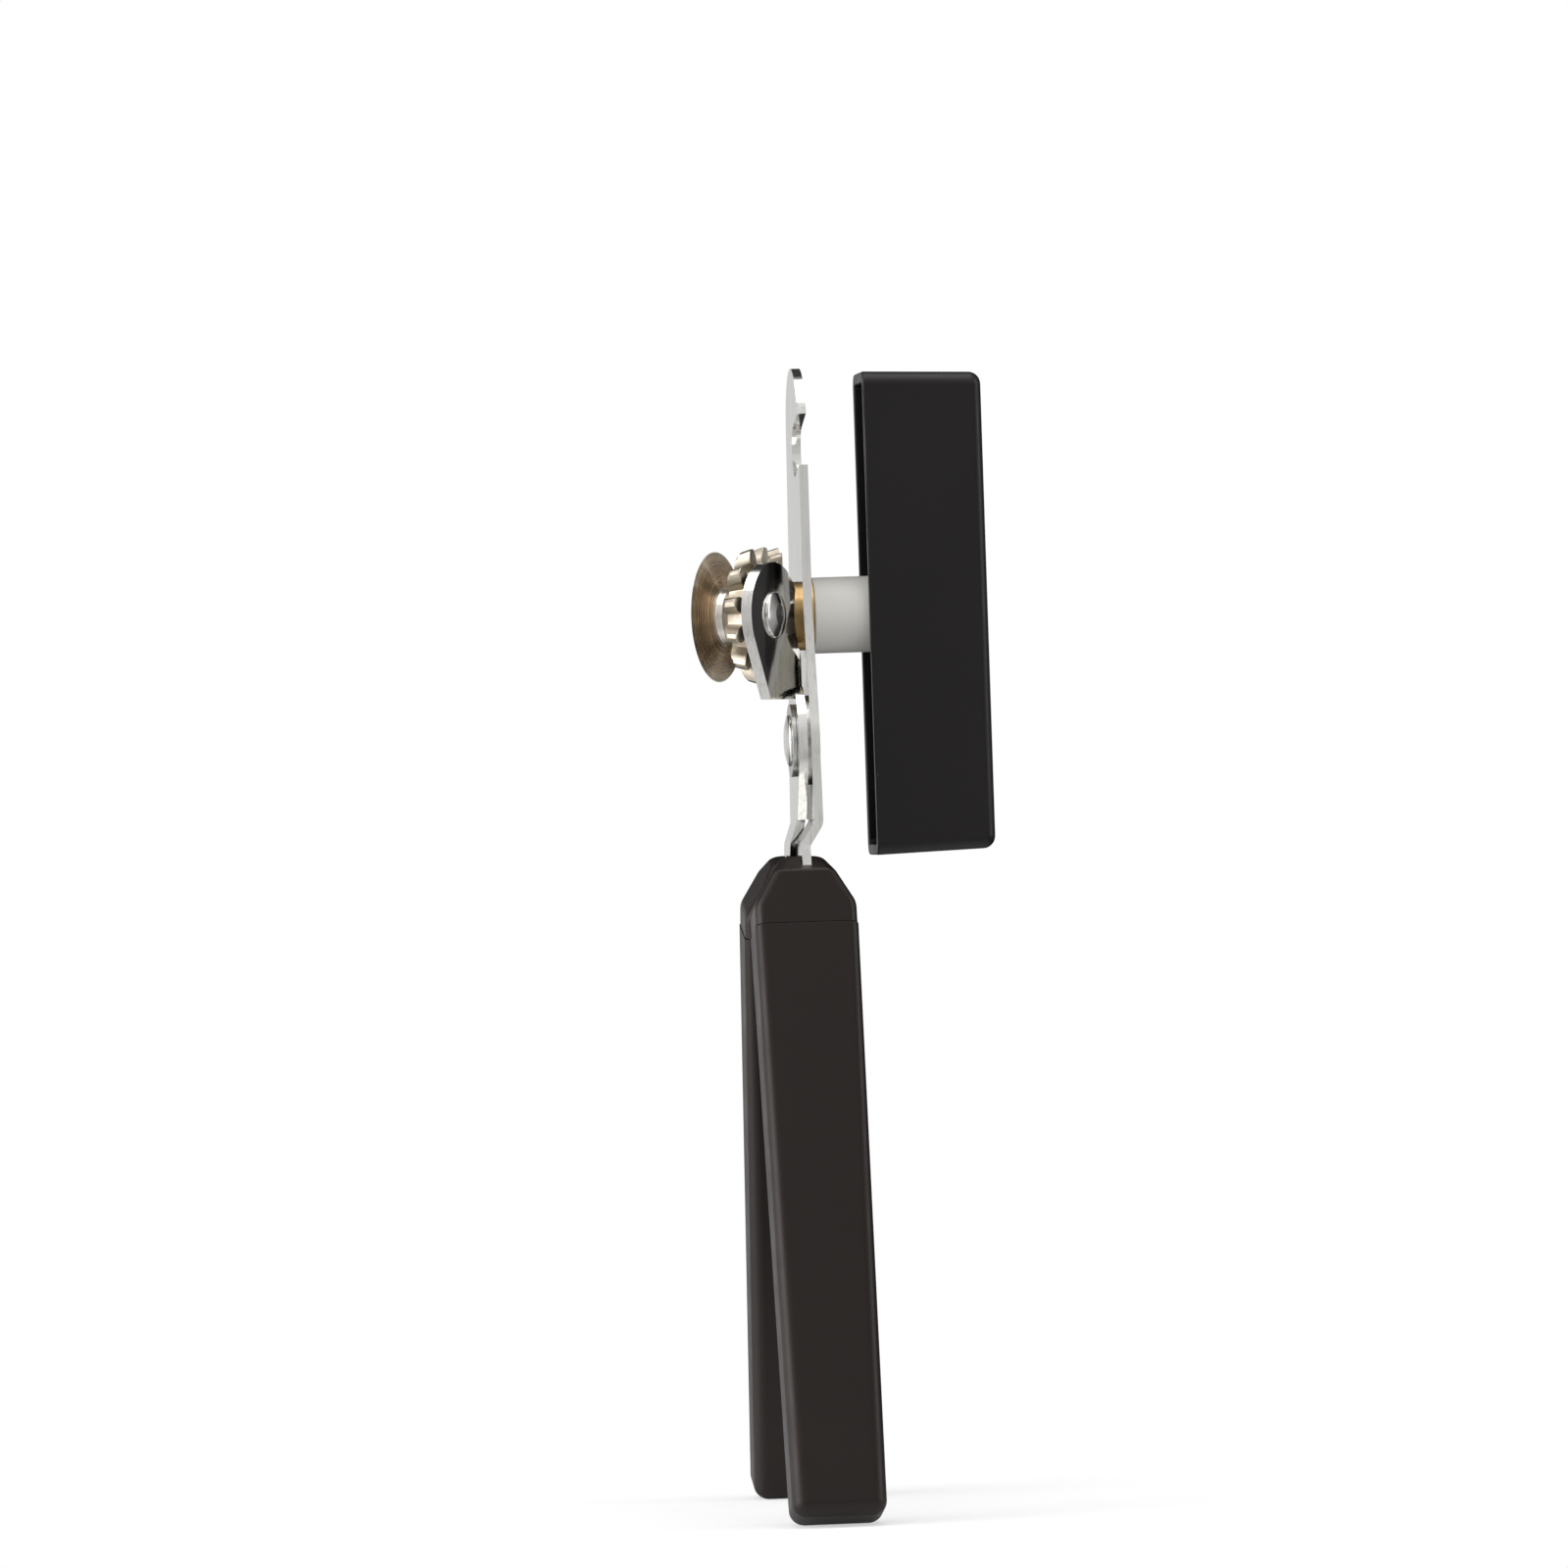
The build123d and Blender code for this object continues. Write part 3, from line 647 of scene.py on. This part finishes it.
def domed(shank, head, base, height, outward):
    """The profile of a rivet head, from its rim to the middle of its dome."""
    shoulder = base + outward * height * 0.45
    tip = base + outward * height
    return ([(head, base), (head, shoulder), (shank * 0.75, tip), (0, tip)], [0.12, 0.5, 1.2, 0])


def make_rivet(name, place, look, body, node, shank, left, left_head, right, right_head):
    """A riveted pin: a small peened head at its left end and a wide dome at its right."""
    near, near_round = domed(shank, left_head[0], left, left_head[1], -1)
    far, far_round = domed(shank, right_head[0], right, right_head[1], 1)
    points = [*reversed(near), (shank, left), (shank, right), *far]
    radii = [*reversed(near_round), 0, 0, *far_round]
    piece(name, lathe(rounded_path(points, radii)), place, look, body, node)


def make_ring(name, place, look, body, node, outer, inner, start, end, edge=0.12):
    points = [(inner, start), (outer, start), (outer, end), (inner, end)]
    piece(name, lathe(rounded_path(points, [0, edge, edge, 0])), place, look, body, node)


# ---------------------------------------------------------------- gears


def involute_ring():
    """One gear outline at full size, as (radius, angle) points."""
    base = PITCH_R * cos(PRESSURE)
    tip = PITCH_R + ADDENDUM * MODULE
    root = PITCH_R - DEDENDUM * MODULE
    half_pitch = pi / (2 * TEETH) - BACKLASH / (2 * PITCH_R)

    def half_angle(radius):
        angle = acos(base / radius)
        return half_pitch + (tan(PRESSURE) - PRESSURE) - (tan(angle) - angle)

    radii = [base + (tip - TIP_ROUND - base) * i / 6 for i in range(7)]
    crown = half_angle(tip - TIP_ROUND)
    fillet = ROOT_FILLET
    ring = []
    for tooth in range(TEETH):
        middle = 2 * pi * tooth / TEETH
        foot = half_angle(base)
        ring.append((root, middle - foot - fillet / root))
        ring.append((root + fillet * 0.3, middle - foot - fillet * 0.3 / root))
        ring += [(r, middle - half_angle(r)) for r in radii]
        ring.append((tip - TIP_ROUND * 0.25, middle - crown * 0.62))
        ring.append((tip, middle))
        ring.append((tip - TIP_ROUND * 0.25, middle + crown * 0.62))
        ring += [(r, middle + half_angle(r)) for r in reversed(radii)]
        ring.append((root + fillet * 0.3, middle + foot + fillet * 0.3 / root))
        ring.append((root, middle + foot + fillet / root))
    return ring


def gear_teeth(start, phase):
    """A bevel gear's toothed ring whose small end is at start along Z."""
    outline = involute_ring()
    small, large = BLANK_SMALL_R, BLANK_LARGE_R
    end = start + GEAR_WIDTH
    limit = [(small - 1.9, start), (small - 0.85, start + 0.3), (small - 0.1, start + 0.7),
             (small + 0.4, start + 1.1), (small + 0.7, start + 1.6), (large, end - 0.35),
             (large - 0.5, end)]
    heights = sorted({start, end, end - 0.35, end - 0.7, start + 2.2,
                      *(start + share for share in (0.15, 0.3, 0.5, 0.7, 0.9, 1.1, 1.35, 1.6))})
    rings = []
    for height in heights:
        scale = 1 + (height - start - GEAR_WIDTH / 2) / GEAR_APEX
        cut = along_path(limit, height)
        ring = []
        for radius, angle in outline:
            reach = min(radius * scale, cut)
            ring.append((reach * cos(angle + phase), reach * sin(angle + phase)))
        rings.append((ring, height))
    return skin(rings)


def make_cutter_gear():
    """The gear behind the cutting wheel, with the neck that carries them both."""
    neck = rounded_path(
        [(BUSH_R, DISC_FLANK), (HUB_R, DISC_FLANK), (HUB_R, GEAR_FRONT - 1.4),
         (HUB_R + 2.2, GEAR_FRONT), (HUB_R + 2.2, GEAR_FRONT + 1), (BUSH_R, GEAR_FRONT + 1)],
        [0, 0, 0.4, 0.3, 0, 0])
    teeth = gear_teeth(GEAR_FRONT, pi / TEETH + PHASE)
    piece("cutter_gear_teeth", joined(teeth, lathe(neck)), ARBOR_PLACE, "gear_nickel", "cutter",
          "cutter_gear", crease=30, edge=TOOTH_EDGE)


def make_drive_gear():
    """The gear on the key's shaft, turned by half a tooth from the one that it drives."""
    piece("drive_gear_teeth", gear_teeth(DRIVE_LEFT, -PHASE), SHAFT_PLACE, "gear_nickel",
          "key_drive", "drive_gear", crease=30, edge=TOOTH_EDGE)


def make_feed_wheel():
    """A toothed feed wheel: sharp V notches across a bevelled rim, and a plain hub."""
    right = FEED_LEFT + FEED_WIDTH
    spread = FEED_NOTCH / FEED_R
    limit = [(FEED_R - 0.9, FEED_LEFT), (FEED_R + 0.1, FEED_LEFT + 0.8),
             (FEED_R + 0.1, right - 0.5), (FEED_R - 0.5, right)]
    rings = []
    for _, height in limit:
        cut = along_path(limit, height)
        ring = []
        for tooth in range(FEED_TEETH):
            middle = 2 * pi * (tooth + 0.5) / FEED_TEETH
            for radius, shift in ((FEED_R, -spread), (FEED_R - FEED_NOTCH, 0), (FEED_R, spread)):
                reach = min(radius, cut)
                ring.append((reach * cos(middle + shift), reach * sin(middle + shift)))
        rings.append((ring, height))
    hub = lathe([(FEED_BORE_R, right), (FEED_HUB_R, right), (FEED_HUB_R, DRIVE_LEFT),
                 (FEED_BORE_R, DRIVE_LEFT)])
    piece("feed_wheel_teeth", joined(skin(rings), hub), SHAFT_PLACE, "feed_steel", "key_drive",
          "feed_wheel", crease=30, edge=0.06)


def make_disc():
    """The cutting wheel: flat inside, a long ground flank outside and a fine edge."""
    collar_r = HUB_R + COLLAR_GAP
    profile = rounded_path(
        [(BUSH_R, 0), (DISC_R - 0.15, 0), (DISC_R, 0.08), (collar_r, DISC_FLANK),
         (collar_r, DISC_FLANK + COLLAR), (BUSH_R, DISC_FLANK + COLLAR)],
        [0, 0, 0, 0.35, 0.45, 0])
    piece("cutter_disc_ground", lathe(profile, 192), ARBOR_PLACE, "blade_steel", "cutter",
          "cutter_disc")


make_grip(-1, "near_grip_moulding", "key_lever", "near_grip")
make_grip(1, "far_grip_moulding", "cutter_lever", "far_grip")
make_cap(-1, "near_cap_moulding", "key_lever", "near_grip_cap")
make_cap(1, "far_cap_moulding", "cutter_lever", "far_grip_cap")
make_lever("key_lever_pressing", "key_lever", "key_lever_plate")
make_lever("cutter_lever_pressing", "cutter_lever", "cutter_lever_plate")
make_key()
make_cutter_gear()
make_drive_gear()
make_feed_wheel()
make_disc()
make_ring("sleeve_turning", SHAFT_PLACE, "sleeve_nylon", "key_drive", "spacer_sleeve",
          SLEEVE_R, SHAFT_R, *SLEEVE, 0.35)
make_rivet("main_rivet_domed", PIVOT_PLACE, "rivet_chrome", "key_lever", "main_rivet", RIVET_R,
           CUTTER_PLATE[0] - WASHER, (RIVET_R + PEEN_SPREAD, PEEN_HEIGHT),
           KEY_PLATE[1], (RIVET_HEAD_R, RIVET_HEAD))
make_rivet("cutter_arbor_domed", ARBOR_PLACE, "rivet_chrome", "cutter_lever", "cutter_arbor",
           ARBOR_R, -WASHER, (ARBOR_R + PEEN_SPREAD, PEEN_HEIGHT),
           SEAT_BACK, (ARBOR_HEAD_R, ARBOR_HEAD))


# ---------------------------------------------------------------- camera and light

CAMERA_DISTANCE = 1.8
CAMERA_AZIMUTH = radians(5.3)
CAMERA_ROLL = radians(1.9)
CAMERA_TARGET = DATUM + Vector((-2.02, 0, -4.5)) * MM
CAMERA_LENS = 230.9

# The tent's dark opening is round this direction, and the floor fades between these radii
TENT_OPENING = Vector((-0.25, -0.97, 0.0))
FLOOR_FADE = (0.05, 0.17)


def add_camera():
    camera = bpy.data.cameras.new("camera")
    camera.sensor_width = 36.0
    camera.lens = CAMERA_LENS
    camera.clip_start = 0.05
    holder = new_object("camera", camera)
    away = Vector((-sin(CAMERA_AZIMUTH), -cos(CAMERA_AZIMUTH), 0))
    facing = away.to_track_quat("Z", "Y").to_matrix().to_4x4()
    place = Matrix.Translation(CAMERA_TARGET + away * CAMERA_DISTANCE)
    holder.matrix_world = place @ facing @ Matrix.Rotation(-CAMERA_ROLL, 4, "Z")
    bpy.context.scene.camera = holder


def softbox(name, place, aim, width, height, power):
    """A rectangular area light that faces aim and stays out of the picture."""
    lamp = bpy.data.lights.new(name, "AREA")
    lamp.shape = "RECTANGLE"
    lamp.size = width
    lamp.size_y = height
    lamp.energy = power
    holder = new_object(name, lamp)
    place = Vector(place)
    turn = (place - Vector(aim)).to_track_quat("Z", "Y").to_matrix().to_4x4()
    holder.matrix_world = Matrix.Translation(place) @ turn
    holder.visible_camera = False


def add_lights():
    middle = (0, 0, 0.12)
    softbox("left", (-1.4, -0.35, 0.5), middle, 0.9, 1.3, 9)
    softbox("right", (1.5, -0.3, 0.6), middle, 0.5, 1.3, 5.5)
    softbox("top", (0, -0.2, 1.6), middle, 1.4, 1.4, 9)


def add_world():
    """A light tent, white when seen: a bright band at the left, shaded at the right and behind."""
    world = bpy.data.worlds.new("studio")
    bpy.context.scene.world = world
    world.use_nodes = True
    tree = world.node_tree
    tent = tree.nodes["Background"]
    place = add(tree, "ShaderNodeTexCoord")
    split = add(tree, "ShaderNodeSeparateXYZ")
    tree.links.new(place.outputs["Generated"], split.inputs["Vector"])
    left = remap(tree, split.outputs["X"], -0.92, -0.66, 1.8, 0.58)
    right = remap(tree, split.outputs["X"], 0.3, 0.75, 0.0, -0.25)
    glow = math(tree, "ADD", left, right)
    height = math(tree, "ABSOLUTE", split.outputs["Z"])
    rear = remap(tree, split.outputs["Y"], 0.15, 0.5, 0.0, 1.0)
    backdrop = remap(tree, height, 0.06, 0.22, 1.15, 0.16)
    shaded = remap(tree, split.outputs["X"], -0.1, 0.2, 1.0, 0.22)
    backdrop = math(tree, "MULTIPLY", backdrop, shaded)
    above = remap(tree, split.outputs["Z"], 0.25, 0.8, 1.0, 1.5)
    glow = math(tree, "MULTIPLY", glow, mix_values(tree, rear, above, backdrop))
    below = remap(tree, split.outputs["Z"], -0.5, -0.05, 0.85, 1.0)
    glow = math(tree, "MULTIPLY", glow, below)
    near = add(tree, "ShaderNodeVectorMath", operation="DOT_PRODUCT")
    tree.links.new(place.outputs["Generated"], near.inputs[0])
    near.inputs[1].default_value = TENT_OPENING.normalized()
    opening = remap(tree, near.outputs["Value"], 0.975, 0.988, 1.0, 0.06)
    glow = math(tree, "MULTIPLY", glow, opening)
    tree.links.new(glow, tent.inputs["Strength"])
    tent.inputs["Color"].default_value = (1, 1, 1, 1)
    paper = add(tree, "ShaderNodeBackground", Color=(1, 1, 1, 1))
    seen = add(tree, "ShaderNodeLightPath")
    mix = add(tree, "ShaderNodeMixShader")
    tree.links.new(seen.outputs["Is Camera Ray"], mix.inputs["Fac"])
    tree.links.new(tent.outputs["Background"], mix.inputs[1])
    tree.links.new(paper.outputs["Background"], mix.inputs[2])
    tree.links.new(mix.outputs["Shader"], tree.nodes["World Output"].inputs["Surface"])


def add_floor():
    """A pale table top under the tool that fades into the background around it."""
    mesh = bpy.data.meshes.new("floor")
    shape = bmesh.new()
    bmesh.ops.create_circle(shape, cap_ends=True, segments=96, radius=1.0)
    shape.to_mesh(mesh)
    shape.free()
    floor = new_object("floor", mesh)
    material, tree, shader = new_material("floor")
    place = add(tree, "ShaderNodeTexCoord")
    speckle = noise(tree, place.outputs["Object"], 60.0)
    base = colour_ramp(tree, speckle, (0, (0.86, 0.86, 0.86)), (1, (0.9, 0.9, 0.9)))
    tree.links.new(base, shader.inputs["Base Color"])
    shader.inputs["Roughness"].default_value = 0.9
    shader.inputs["Specular IOR Level"].default_value = 0.1
    shader.inputs["Emission Color"].default_value = (1, 1, 1, 1)
    shader.inputs["Emission Strength"].default_value = 0.2
    cover = remap(tree, length_of(tree, place.outputs["Object"]), *FLOOR_FADE, 0.6, 0.0)
    tree.links.new(cover, shader.inputs["Alpha"])
    mesh.materials.append(material)


add_camera()
add_lights()
add_world()
add_floor()
bpy.context.scene.view_settings.view_transform = "Standard"
